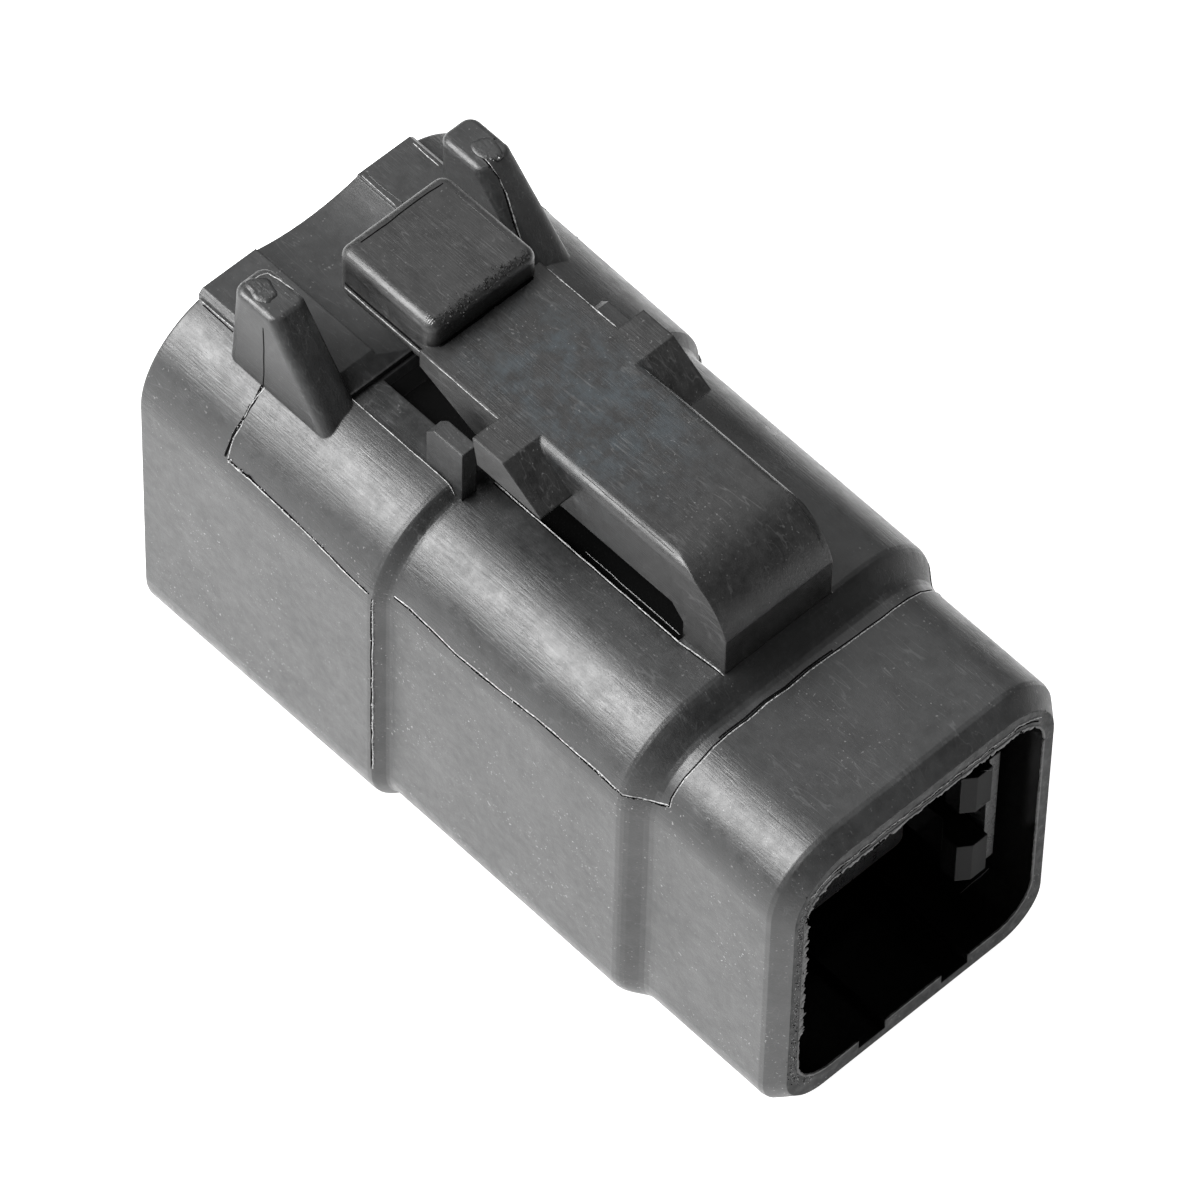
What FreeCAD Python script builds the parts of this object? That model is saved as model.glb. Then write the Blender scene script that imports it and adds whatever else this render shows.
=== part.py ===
# Sealed four-way plug housing with its latch, seals, lock and socket contacts.
# Millimetres. X is the mating direction, with the wire side at X = 0 and the mouth at the far end.
# Z is up, towards the latch. The sketches measure X from the wire end; the finished pieces are then
# moved back by half the length, so the origin is at the middle of the underside.

import FreeCAD, Part
import math
import os

import Sketcher

VEC = FreeCAD.Vector

SIZES = {
    # outer shell, section by section from the wire side to the mouth
    "rear_len": 18.3,
    "rear_taper": 0.16,
    "rear_edge": 0.15,
    "trim": 0.12,
    "top_round": 5.9,
    "low_round": 4.5,
    "rear_step_len": 0.7,
    "rear_step_side": 0.72,
    "rear_step_top": 0.75,
    "rear_step_low": 0.55,
    "mid_len": 17.6,
    "front_step_len": 1.5,
    "front_step_side": 1.0,
    "front_step_top": 1.4,
    "front_step_low": 0.25,
    "nose_len": 9.9,
    "nose_chamfer_len": 1.05,
    "nose_chamfer_in": 0.85,
    # mouth, core and contact cavities
    "side_wall": 1.6,
    "floor_wall": 2.25,
    "moat": 2.27,
    "moat_high": 2.69,
    "mouth_depth": 21.0,
    "mouth_round": 2.6,
    "keyway_width": 2.0,
    "keyway_depth": 0.75,
    "keyway_pitch": 6.2,
    "keyway_len": 9.0,
    "row_pitch": 6.4,
    "column_pitch": 6.4,
    "cavity_bore": 4.7,
    "core_wall": 0.95,
    "core_recess": 8.0,
    "core_round": 1.6,
    "finger_thick": 1.1,
    "finger_width": 3.2,
    "finger_recess": 1.4,
    "finger_setback": 3.0,
    "finger_hook": 0.7,
    "hook_lead": 0.5,
    "hook_land": 1.1,
    "hook_back": 0.7,
    # rear pocket and wire seal
    "pocket_depth": 9.5,
    "pocket_wall": 2.1,
    "pocket_round": 3.2,
    "wire_seal_len": 8.0,
    "wire_bore": 3.4,
    "wire_rib": 0.35,
    "wire_rib_len": 0.8,
    "wire_chamber_len": 1.6,
    # front seal round the core
    "ring_start": 1.0,
    "ring_len": 6.0,
    "ring_thick": 0.9,
    "ring_rib": 0.4,
    "ring_rib_len": 1.0,
    # lock in front of the core
    "lock_thick": 1.6,
    "lock_hole": 3.6,
    "lock_leg_thick": 0.8,
    "lock_leg_len": 6.2,
    "lock_leg_width": 9.6,
    "lock_gap": 0.15,
    "lock_round": 0.5,
    "lock_lap": 0.3,
    # ears beside the thumb pad
    "ear_start": 3.5,
    "ear_foot_len": 8.75,
    "ear_top_len": 3.3,
    "ear_gap": 12.8,
    "ear_thick": 2.7,
    "ear_lean": 0.3,
    "ear_thin": 0.1,
    "ear_rise": 5.0,
    "ear_corner": 0.75,
    "ear_edge": 0.4,
    "ear_sink": 1.6,
    # saddle, channel and stop posts on the top
    "saddle_len": 10.4,
    "saddle_width": 15.7,
    "saddle_rise": 0.45,
    "saddle_bevel": 0.3,
    "saddle_slope": 1.2,
    "dish_step": 0.15,
    "dish_depth": 0.5,
    "dish_width": 7.4,
    "ledge_width": 12.8,
    "ledge_depth": 0.3,
    "channel_width": 8.35,
    "channel_depth": 1.1,
    "channel_slope": 0.9,
    "post_lead": 0.05,
    "post_len": 2.75,
    "post_gap": 10.6,
    "post_thick": 1.05,
    "post_rise": 4.01,
    "post_corner": 0.55,
    # latch arm
    "arm_width": 7.75,
    "arm_rear_width": 8.7,
    "arm_start": 6.6,
    "arm_rise": 6.11,
    "arm_root_len": 3.2,
    "arm_brow": 4.4,
    "arm_edge": 0.6,
    "arm_drop": 3.3,
    "arm_heel_bevel": 0.9,
    "arm_lap": 0.5,
    "arm_front_thick": 3.8,
    "arm_rear_thick": 1.3,
    "wing_width": 12.4,
    "wing_clearance": 0.6,
    "wing_flat": 2.3,
    "wing_ramp": 2.95,
    "wing_thick": 2.0,
    "wing_undercut": 0.4,
    "wing_edge": 0.1,
    "pad_len": 7.5,
    "pad_width": 7.8,
    "pad_rise": 1.85,
    "pad_round": 0.6,
    "pad_corner": 0.75,
    # socket contacts
    "contact_gap": 0.5,
    "barrel_len": 8.0,
    "barrel_dia": 3.5,
    "barrel_bore": 2.5,
    "barrel_web": 1.0,
    "drill_tip": 0.2,
    "neck_len": 4.0,
    "neck_dia": 2.9,
    "collar_len": 1.6,
    "collar_dia": 4.4,
    "socket_len": 14.0,
    "socket_dia": 3.3,
    "socket_bore": 2.4,
    "sleeve_dia": 3.9,
    "sleeve_len": 11.5,
    "sleeve_lip": 0.35,
    # how far an added form is sunk into what carries it, and how far a cut runs past a face
    "sink": 1.0,
    "spare": 1.0,
}

RING_RIBS = 3
WIRE_CHAMBERS = 2

# How each step of the shell runs, as (share of its length, share of its depth) pairs.
REAR_STEP = ((-0.6, 0.0), (-0.2, 0.06), (0.0, 0.2), (0.6, 0.82), (0.85, 0.95), (1.15, 1.0))
FRONT_STEP = ((-0.15, 0.0), (0.02, 0.05), (0.15, 0.14), (0.3, 0.28), (0.72, 0.74), (0.9, 0.9),
              (1.1, 0.98), (1.35, 1.0))
CHAMFER = ((-0.25, 0.0), (0.02, 0.08), (0.2, 0.24), (1.0, 1.0))


# Sizes that follow from the driving ones. Formulas may use any name here or in SIZES.
DERIVED = {
    # stations along X
    "mid_start": "rear_len + rear_step_len",
    "mid_end": "mid_start + mid_len",
    "nose_start": "mid_end + front_step_len",
    "full_len": "nose_start + nose_len",
    "mouth_back": "full_len - mouth_depth",
    "core_front": "full_len - core_recess",
    # half widths and heights, worked outwards from the contact cavities
    "core_half": "column_pitch / 2 + cavity_bore / 2 + core_wall",
    "mouth_half": "core_half + moat",
    "nose_half": "mouth_half + side_wall",
    "mid_half": "nose_half + front_step_side",
    "rear_half": "mid_half + rear_step_side + rear_taper",
    "nose_low": "rear_step_low + front_step_low",
    "mouth_low": "nose_low + floor_wall",
    "core_low": "mouth_low + moat_high",
    "axis_height": "core_low + core_wall + cavity_bore / 2 + row_pitch / 2",
    "core_high": "axis_height + row_pitch / 2 + cavity_bore / 2 + core_wall",
    "mouth_high": "core_high + moat_high",
    "nose_top": "mouth_high + floor_wall",
    "mid_top": "nose_top + front_step_top",
    "rear_top": "mid_top + rear_step_top + rear_taper",
    "pocket_half": "rear_half - pocket_wall",
    "pocket_high": "rear_top - pocket_wall",
    # latch arm, its stops and its guards
    "arm_top": "mid_top + arm_rise",
    "post_top": "mid_top + post_rise",
    "post_start": "mid_start + post_lead - post_len",
    "wing_start": "mid_start + post_lead + wing_clearance",
    "ear_top": "rear_top + ear_rise",
}


doc = FreeCAD.newDocument("plug")
sheet = doc.addObject("Spreadsheet::Sheet", "Sheet")
for row, (alias, size) in enumerate(SIZES.items(), start=1):
    sheet.set("A%d" % row, alias)
    sheet.set("B%d" % row, str(size))
    sheet.setAlias("B%d" % row, alias)
doc.recompute()


def cell(text):
    """A formula for the document: aliases get the sheet's name, and derived names their own formula."""
    out = []
    word = ""
    for letter in text + " ":
        if letter.isalnum() or letter == "_":
            word += letter
            continue
        if word in DERIVED:
            word = "(%s)" % cell(DERIVED[word])
        elif word in SIZES:
            word = "Sheet." + word
        out.append(word)
        out.append(letter)
        word = ""
    return "".join(out).strip()


def number(text):
    """What a formula in the sheet's sizes comes to now."""
    value = sheet.evalExpression(cell(text))
    return float(getattr(value, "Value", value))


# The four contacts, each by its side (-1 left, seen from behind) and its row (-1 lower).
PLACES = ((-1, 1), (1, 1), (-1, -1), (1, -1))
SIDE_NAMES = {-1: "left", 1: "right"}
ROW_NAMES = {-1: "lower", 1: "upper"}


def new_body(label):
    body = doc.addObject("PartDesign::Body", label)
    body.Label = label
    return body


def plane(body, role):
    for feature in body.Origin.OriginFeatures:
        if feature.Role == role:
            return feature
    raise ValueError(role)


def new_sketch(body, name, role, offset):
    """A sketch on one of the body's own planes, moved along the plane's normal."""
    sketch = body.newObject("Sketcher::SketchObject", name)
    sketch.AttachmentSupport = (plane(body, role), [""])
    sketch.MapMode = "FlatFace"
    sketch.setExpression("AttachmentOffset.Base.z", cell(offset))
    return sketch


def pin(sketch, kind, geometry, point, text):
    """Fixes one coordinate of a point to a formula, measured from the sketch's origin."""
    index = sketch.addConstraint(Sketcher.Constraint(kind, -1, 1, geometry, point, number(text)))
    sketch.setExpression("Constraints[%d]" % index, cell(text))


def rounded(body, name, offset, half, low, high, high_round, low_round, role="YZ_Plane", middle="0"):
    """A rectangle with round corners, as wide each side of the middle line."""
    sketch = new_sketch(body, name, role, offset)
    left = number("%s - (%s)" % (middle, half))
    right = number("%s + (%s)" % (middle, half))
    bottom = number(low)
    top = number(high)
    r_high = number(high_round)
    r_low = number(low_round)
    corners = (
        (VEC(right - r_low, bottom + r_low), r_low, -90.0),
        (VEC(right - r_high, top - r_high), r_high, 0.0),
        (VEC(left + r_high, top - r_high), r_high, 90.0),
        (VEC(left + r_low, bottom + r_low), r_low, 180.0),
    )
    lines = (
        (VEC(left + r_low, bottom), VEC(right - r_low, bottom)),
        (VEC(right, bottom + r_low), VEC(right, top - r_high)),
        (VEC(right - r_high, top), VEC(left + r_high, top)),
        (VEC(left, top - r_high), VEC(left, bottom + r_low)),
    )
    for (start, end), (centre, radius, turn) in zip(lines, corners):
        sketch.addGeometry(Part.LineSegment(start, end), False)
        circle = Part.Circle(centre, VEC(0, 0, 1), radius)
        first = math.radians(turn)
        sketch.addGeometry(Part.ArcOfCircle(circle, first, first + math.pi / 2), False)
    for side in range(4):
        line = 2 * side
        arc = line + 1
        following = (line + 2) % 8
        sketch.addConstraint(Sketcher.Constraint("Tangent", line, 2, arc, 1))
        sketch.addConstraint(Sketcher.Constraint("Tangent", arc, 2, following, 1))
    sketch.addConstraint(Sketcher.Constraint("Horizontal", 0))
    sketch.addConstraint(Sketcher.Constraint("Vertical", 2))
    sketch.addConstraint(Sketcher.Constraint("Horizontal", 4))
    sketch.addConstraint(Sketcher.Constraint("Vertical", 6))
    pin(sketch, "DistanceX", 2, 1, "%s + (%s)" % (middle, half))
    pin(sketch, "DistanceX", 6, 1, "%s - (%s)" % (middle, half))
    pin(sketch, "DistanceY", 0, 1, low)
    pin(sketch, "DistanceY", 4, 1, high)
    for arc, text in ((1, low_round), (3, high_round), (5, high_round), (7, low_round)):
        index = sketch.addConstraint(Sketcher.Constraint("Radius", arc, number(text)))
        sketch.setExpression("Constraints[%d]" % index, cell(text))
    return sketch


def outline(body, name, role, offset, points):
    """A closed outline. Each point is (x, y) or (x, y, radius, side) where an arc leaves it."""
    sketch = new_sketch(body, name, role, offset)
    places = [VEC(number(point[0]), number(point[1])) for point in points]
    count = len(points)
    for index, point in enumerate(points):
        start = places[index]
        end = places[(index + 1) % count]
        if len(point) == 2:
            sketch.addGeometry(Part.LineSegment(start, end), False)
            continue
        radius = number(point[2])
        chord = end - start
        half = chord.Length / 2
        across = VEC(-chord.y, chord.x).normalize() * point[3]
        rise = math.sqrt(max(radius ** 2 - half ** 2, 0.0))
        centre = (start + end) * 0.5 + across * rise
        crown = centre - across * radius
        sketch.addGeometry(Part.Arc(start, crown, end), False)
    for index, point in enumerate(points):
        before = (index - 1) % count
        first = 1 if (sketch.getPoint(index, 1) - places[index]).Length < 1e-6 else 2
        last = 2 if (sketch.getPoint(before, 2) - places[index]).Length < 1e-6 else 1
        sketch.addConstraint(Sketcher.Constraint("Coincident", before, last, index, first))
        pin(sketch, "DistanceX", index, first, point[0])
        pin(sketch, "DistanceY", index, first, point[1])
        if len(point) > 2:
            radius = sketch.addConstraint(Sketcher.Constraint("Radius", index, number(point[2])))
            sketch.setExpression("Constraints[%d]" % radius, cell(point[2]))
    return sketch


def feature(body, kind, name, sketch, length=None, middle=False, backwards=False):
    """A pad or a pocket of one sketch, to a length that the sheet drives."""
    made = body.newObject("PartDesign::" + kind, name)
    made.Profile = sketch
    if length is not None:
        made.setExpression("Length", cell(length))
    made.Midplane = middle
    made.Reversed = backwards
    doc.recompute()
    return made


def loft(body, name, sections):
    made = body.newObject("PartDesign::AdditiveLoft", name)
    made.Profile = sections[0]
    made.Sections = sections[1:]
    made.Ruled = True
    doc.recompute()
    return made


def turned(body, name, sketch):
    """A turned piece about the sketch's level axis."""
    made = body.newObject("PartDesign::Revolution", name)
    made.Profile = sketch
    made.ReferenceAxis = (sketch, ["H_Axis"])
    made.Angle = 360.0
    doc.recompute()
    return made


def rounding(body, name, base, size, wanted):
    """Rounds the edges of the last feature that the test picks."""
    names = ["Edge%d" % (i + 1) for i, edge in enumerate(base.Shape.Edges) if wanted(edge)]
    if not names:
        raise ValueError("no edge for " + name)
    made = body.newObject("PartDesign::Fillet", name)
    made.Base = (base, names)
    made.setExpression("Radius", cell(size))
    doc.recompute()
    return made


def near(value, target):
    return abs(value - target) < 1e-4


def profile(half, low, high, high_round, low_round):
    """The five formulas of one cross-section of the shell."""
    return (half, low, high, high_round, low_round)


def between(first, second, share):
    """The cross-section that lies a share of the way from one to another."""
    return tuple("((%s) * %g + (%s) * %g)" % (a, 1 - share, b, share) for a, b in zip(first, second))


def shell_sections(body):
    """The outer sections of the housing, with several close together where an edge is rounded."""
    rear = profile("rear_half", "-trim", "rear_top", "top_round", "low_round")
    rear_end = profile("rear_half - rear_edge", "-trim", "rear_top - rear_edge",
                       "top_round - rear_edge", "low_round - rear_edge")
    tapered = profile("rear_half - rear_taper", "-trim", "rear_top - rear_taper",
                      "top_round", "low_round")
    mid = profile("mid_half", "rear_step_low", "mid_top", "top_round - rear_step_side",
                  "low_round - rear_step_side")
    nose = profile("nose_half", "nose_low", "nose_top", "top_round - rear_step_side - front_step_side",
                   "low_round - rear_step_side - front_step_side / 2")
    lip = profile("nose_half - nose_chamfer_in", "nose_low + nose_chamfer_in",
                  "nose_top - nose_chamfer_in",
                  "top_round - rear_step_side - front_step_side - nose_chamfer_in / 2",
                  "low_round - rear_step_side - front_step_side / 2 - nose_chamfer_in / 2")
    chamfer = "(full_len - nose_chamfer_len)"
    stations = [("0", rear_end), ("rear_edge * 0.3", between(rear_end, rear, 0.7)),
                ("rear_edge", rear)]
    steps = (
        ("rear_len", "rear_step_len", tapered, mid, REAR_STEP),
        ("mid_end", "front_step_len", mid, nose, FRONT_STEP),
        (chamfer, "nose_chamfer_len", nose, lip, CHAMFER),
    )
    for start, length, before, after, curve in steps:
        for place, share in curve:
            stations.append(("(%s + %s * %g)" % (start, length, place), between(before, after, share)))
    sketches = []
    for index, (station, (half, low, high, high_round, low_round)) in enumerate(stations):
        sketches.append(rounded(body, "section_%02d" % index, station, half, low, high,
                                high_round, low_round))
    return sketches


def ear(body, name, side):
    """One guard beside the thumb pad: upright behind, sloping in front, leaning in a little."""
    foot_middle = "%d * (ear_gap / 2 + ear_thick / 2)" % side
    tip_middle = "%d * (ear_gap / 2 + ear_thick / 2 - ear_lean)" % side
    foot = rounded(body, name + "_foot", "rear_top - ear_sink", "ear_foot_len / 2",
                   "%s - ear_thick / 2" % foot_middle, "%s + ear_thick / 2" % foot_middle,
                   "ear_corner", "ear_corner", "XY_Plane", "ear_start + ear_foot_len / 2")
    tip = rounded(body, name + "_tip", "ear_top", "ear_top_len / 2",
                  "%s - ear_thick / 2 + ear_thin" % tip_middle,
                  "%s + ear_thick / 2 - ear_thin" % tip_middle,
                  "ear_corner", "ear_corner", "XY_Plane", "ear_start + ear_thin + ear_top_len / 2")
    guard = loft(body, name, [foot, tip])
    top = number("ear_top")
    rounding(body, name + "_rounding", guard, "ear_edge",
             lambda edge: all(near(v.Z, top) and v.Y * side > 0 for v in edge.Vertexes))


def post(body, name, side):
    """One stop behind a wing of the latch arm."""
    shape = outline(body, name + "_outline", "XZ_Plane", "%d * post_gap / 2" % -side, [
        ("post_start", "mid_top - sink"),
        ("post_start", "post_top - post_corner"),
        ("post_start + post_corner", "post_top"),
        ("post_start + post_len", "post_top"),
        ("post_start + post_len", "mid_top - sink"),
    ])
    feature(body, "Pad", name, shape, "post_thick", backwards=side > 0)


def finger(body, name, side, row):
    """A springy tongue at the outer side of a cavity, with a hook at its tip."""
    setback = "finger_setback" if side < 0 else "0"
    tip = "(full_len - finger_recess - %s)" % setback
    root = "(core_front - sink)"
    outer = "%d * core_half" % side
    inner = "%d * (core_half - finger_thick)" % side
    hook = "%d * (core_half - finger_thick - finger_hook)" % side
    points = [
        (root, outer),
        (tip, outer),
        (tip, inner),
        ("%s - hook_lead" % tip, hook),
        ("%s - hook_lead - hook_land" % tip, hook),
        ("%s - hook_lead - hook_land - hook_back" % tip, inner),
        (root, inner),
    ]
    level = "axis_height + %d * row_pitch / 2 - finger_width / 2" % row
    feature(body, "Pad", name, outline(body, name + "_outline", "XY_Plane", level, points), "finger_width")


def cavities(body, name, offset, diameter):
    """Four circles, one for each contact."""
    sketch = new_sketch(body, name, "YZ_Plane", offset)
    for index, (side, row) in enumerate(PLACES):
        across = "%d * column_pitch / 2" % side
        up = "axis_height + %d * row_pitch / 2" % row
        centre = VEC(number(across), number(up))
        sketch.addGeometry(Part.Circle(centre, VEC(0, 0, 1), number(diameter) / 2), False)
        pin(sketch, "DistanceX", index, 3, across)
        pin(sketch, "DistanceY", index, 3, up)
        size = sketch.addConstraint(Sketcher.Constraint("Diameter", index, number(diameter)))
        sketch.setExpression("Constraints[%d]" % size, cell(diameter))
    return sketch


def block(body, kind, name, start, depth, left, right, low, high):
    """A plain box along X, added or cut."""
    shape = outline(body, name + "_outline", "YZ_Plane", start, [
        (left, low), (right, low), (right, high), (left, high),
    ])
    return feature(body, kind, name, shape, depth, backwards=kind == "Pocket")


def make_housing():
    body = new_body("housing")
    loft(body, "shell", shell_sections(body))
    block(body, "Pocket", "underside", "0", "mid_start", "-rear_half - spare",
          "rear_half + spare", "-trim - spare", "0")

    saddle = outline(body, "saddle_outline", "XZ_Plane", "0", [
        ("0", "rear_top - sink"),
        ("saddle_len", "rear_top - sink"),
        ("saddle_len", "rear_top - rear_taper"),
        ("saddle_len - saddle_slope", "rear_top + saddle_rise"),
        ("0", "rear_top + saddle_rise"),
    ])
    feature(body, "Pad", "saddle", saddle, "saddle_width", middle=True)
    for side in (-1, 1):
        edge = "%d * saddle_width / 2" % side
        bevel = outline(body, "bevel_outline_" + SIDE_NAMES[side], "YZ_Plane", "0", [
            ("%s - %d * saddle_bevel" % (edge, side), "rear_top + saddle_rise"),
            (edge, "rear_top + saddle_rise - saddle_bevel"),
            (edge, "rear_top + saddle_rise"),
        ])
        feature(body, "Pocket", "bevel_" + SIDE_NAMES[side], bevel, "saddle_len", backwards=True)
    for side, name in ((-1, "left_ear"), (1, "right_ear")):
        ear(body, name, side)

    crest = "(rear_top + saddle_rise)"
    dish_round = "((dish_width ^ 2 / 4 + dish_depth ^ 2) / (2 * dish_depth))"
    dish = outline(body, "dish_outline", "YZ_Plane", "0", [
        ("-dish_width / 2", "%s + spare" % crest),
        ("-dish_width / 2", "%s - dish_step" % crest, dish_round, 1),
        ("dish_width / 2", "%s - dish_step" % crest),
        ("dish_width / 2", "%s + spare" % crest),
    ])
    feature(body, "Pocket", "dish", dish, "saddle_len", backwards=True)
    ledge = outline(body, "ledge_outline", "XZ_Plane", "0", [
        ("saddle_len", "rear_top - rear_taper - ledge_depth"),
        ("mid_start", "rear_top - rear_taper - ledge_depth"),
        ("mid_start", "rear_top + spare"),
        ("saddle_len", "rear_top + spare"),
    ])
    feature(body, "Pocket", "ledge", ledge, "ledge_width", middle=True)
    floor = "(mid_top - channel_depth)"
    channel = outline(body, "channel_outline", "XZ_Plane", "0", [
        ("saddle_len + channel_slope", floor),
        ("mid_end - arm_root_len", floor),
        ("mid_end - arm_root_len", "rear_top"),
        ("saddle_len", "rear_top"),
    ])
    feature(body, "Pocket", "channel", channel, "channel_width", middle=True)
    for side in (-1, 1):
        post(body, SIDE_NAMES[side] + "_post", side)

    mouth = rounded(body, "mouth_outline", "full_len", "mouth_half", "mouth_low", "mouth_high",
                    "mouth_round", "mouth_round")
    feature(body, "Pocket", "mouth", mouth, "mouth_depth")
    core = rounded(body, "core_outline", "mouth_back", "core_half", "core_low", "core_high",
                   "core_round", "core_round")
    feature(body, "Pad", "core", core, "mouth_depth - core_recess")
    for side, row in PLACES:
        finger(body, "finger_%s_%s" % (SIDE_NAMES[side], ROW_NAMES[row]), side, row)
    for side in (-1, 1):
        middle = "%d * keyway_pitch / 2" % side
        block(body, "Pocket", "keyway_" + SIDE_NAMES[side], "full_len - keyway_len", "keyway_len",
              "%s - keyway_width / 2" % middle, "%s + keyway_width / 2" % middle,
              "mouth_low - keyway_depth", "mouth_low + spare")

    pocket = rounded(body, "pocket_outline", "0", "pocket_half", "pocket_wall", "pocket_high",
                     "pocket_round", "pocket_round")
    feature(body, "Pocket", "rear_pocket", pocket, "pocket_depth", backwards=True)
    bores = cavities(body, "bore_outline", "core_front", "cavity_bore")
    feature(body, "Pocket", "bores", bores, "core_front - pocket_depth")
    return body


def make_arm():
    body = new_body("latch_arm")
    under_front = "(arm_top - arm_front_thick)"
    under_rear = "(arm_top - arm_rear_thick)"
    heel = "(mid_end - arm_root_len)"
    nose_round = "((arm_brow ^ 2 + arm_drop ^ 2) / (2 * arm_drop))"
    strap = outline(body, "strap_outline", "XZ_Plane", "0", [
        ("wing_start", "arm_top"),
        ("mid_end - arm_brow", "arm_top", nose_round, -1),
        ("mid_end", "arm_top - arm_drop"),
        ("mid_end", "mid_top"),
        (heel, "mid_top"),
        (heel, "%s - arm_heel_bevel" % under_front),
        ("%s - arm_heel_bevel" % heel, under_front),
        ("wing_start", under_front),
    ])
    feature(body, "Pad", "strap", strap, "arm_width", middle=True)
    for side in (-1, 1):
        inner = "%d * (arm_width / 2 - arm_edge)" % side
        outer = "%d * (arm_width / 2 + spare)" % side
        corner = outline(body, "edge_outline_" + SIDE_NAMES[side], "YZ_Plane", "mid_end", [
            (inner, "arm_top", "arm_edge", -side),
            ("%d * arm_width / 2" % side, "arm_top - arm_edge"),
            (outer, "arm_top - arm_edge"),
            (outer, "arm_top + spare"),
            (inner, "arm_top + spare"),
        ])
        feature(body, "Pocket", "edge_" + SIDE_NAMES[side], corner,
                "mid_end - wing_start - wing_flat")
    tail = outline(body, "tail_outline", "XZ_Plane", "0", [
        ("arm_start + pad_len - arm_lap", "arm_top"),
        ("wing_start + arm_lap", "arm_top"),
        ("wing_start + arm_lap", under_front),
        ("wing_start", under_front),
        ("arm_start + pad_len - arm_lap", under_rear),
    ])
    feature(body, "Pad", "tail", tail, "arm_rear_width", middle=True)
    wing = outline(body, "wing_outline", "XZ_Plane", "0", [
        ("wing_start", "arm_top"),
        ("wing_start + wing_flat", "arm_top"),
        ("wing_start + wing_flat + wing_ramp", "arm_top - wing_thick + wing_edge"),
        ("wing_start + wing_flat + wing_ramp", "arm_top - wing_thick"),
        ("wing_start + wing_undercut", "arm_top - wing_thick"),
    ])
    feature(body, "Pad", "wings", wing, "wing_width", middle=True)
    thumb = rounded(body, "thumb_outline", under_rear, "pad_len / 2", "-pad_width / 2", "pad_width / 2",
                    "pad_corner", "pad_corner", "XY_Plane", "arm_start + pad_len / 2")
    pad = feature(body, "Pad", "thumb_pad", thumb, "arm_rear_thick + pad_rise")
    crown = number("arm_top + pad_rise")
    rounding(body, "thumb_rounding", pad, "pad_round",
             lambda edge: all(near(vertex.Z, crown) for vertex in edge.Vertexes))
    return body


def make_ring():
    """The seal round the core that the mating shell slides over."""
    body = new_body("interface_seal")
    start = "(mouth_back + ring_start)"
    outer = rounded(body, "ring_outline", start, "core_half + ring_thick",
                    "core_low - ring_thick", "core_high + ring_thick",
                    "core_round + ring_thick", "core_round + ring_thick")
    feature(body, "Pad", "ring", outer, "ring_len")
    for index in range(RING_RIBS):
        place = "%s + (ring_len - ring_rib_len) * %d / %d" % (start, index, RING_RIBS - 1)
        rib = rounded(body, "rib_outline_%d" % index, place, "core_half + ring_thick + ring_rib",
                      "core_low - ring_thick - ring_rib", "core_high + ring_thick + ring_rib",
                      "core_round + ring_thick + ring_rib", "core_round + ring_thick + ring_rib")
        feature(body, "Pad", "rib_%d" % index, rib, "ring_rib_len")
    inner = rounded(body, "ring_hole_outline", start, "core_half", "core_low", "core_high",
                    "core_round", "core_round")
    feature(body, "Pocket", "ring_hole", inner, "ring_len", backwards=True)
    return body


def make_wire_seal():
    """The soft block that grips the four wires at the back."""
    body = new_body("wire_seal")
    back = "(pocket_depth - wire_seal_len)"
    outer = rounded(body, "seal_outline", back, "pocket_half", "pocket_wall", "pocket_high",
                    "pocket_round", "pocket_round")
    feature(body, "Pad", "seal", outer, "wire_seal_len")
    through = cavities(body, "hole_outline", back, "wire_bore")
    feature(body, "Pocket", "holes", through, "wire_seal_len", backwards=True)
    for index in range(WIRE_CHAMBERS):
        place = "%s + wire_rib_len + (wire_chamber_len + wire_rib_len) * %d" % (back, index)
        chamber = cavities(body, "chamber_outline_%d" % index, place, "wire_bore + 2 * wire_rib")
        feature(body, "Pocket", "chamber_%d" % index, chamber, "wire_chamber_len", backwards=True)
    return body


def make_lock():
    """The lock that seats on the core and backs up the fingers once the contacts are in."""
    body = new_body("front_lock")
    half = "(core_half - finger_thick - lock_gap)"
    plate = rounded(body, "plate_outline", "core_front", half, "core_low + lock_gap",
                    "core_high - lock_gap", "lock_round", "lock_round")
    feature(body, "Pad", "plate", plate, "lock_thick")
    for side in (-1, 1):
        name = SIDE_NAMES[side]
        inner = "%d * (%s - lock_lap)" % (side, half)
        leg_inner = "%d * (core_half + lock_gap)" % side
        leg_outer = "%d * (core_half + lock_gap + lock_leg_thick)" % side
        span = "(row_pitch / 2 - finger_width / 2 - lock_gap)"
        block(body, "Pad", "bridge_" + name, "core_front", "lock_thick", inner, leg_outer,
              "axis_height - %s" % span, "axis_height + %s" % span)
        leg = "lock_leg_len - finger_setback" if side < 0 else "lock_leg_len"
        block(body, "Pad", "leg_" + name, "core_front", leg, leg_inner, leg_outer,
              "axis_height - lock_leg_width / 2", "axis_height + lock_leg_width / 2")
    holes = cavities(body, "lock_hole_outline", "core_front", "lock_hole")
    feature(body, "Pocket", "lock_holes", holes, "lock_thick", backwards=True)
    return body


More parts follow.
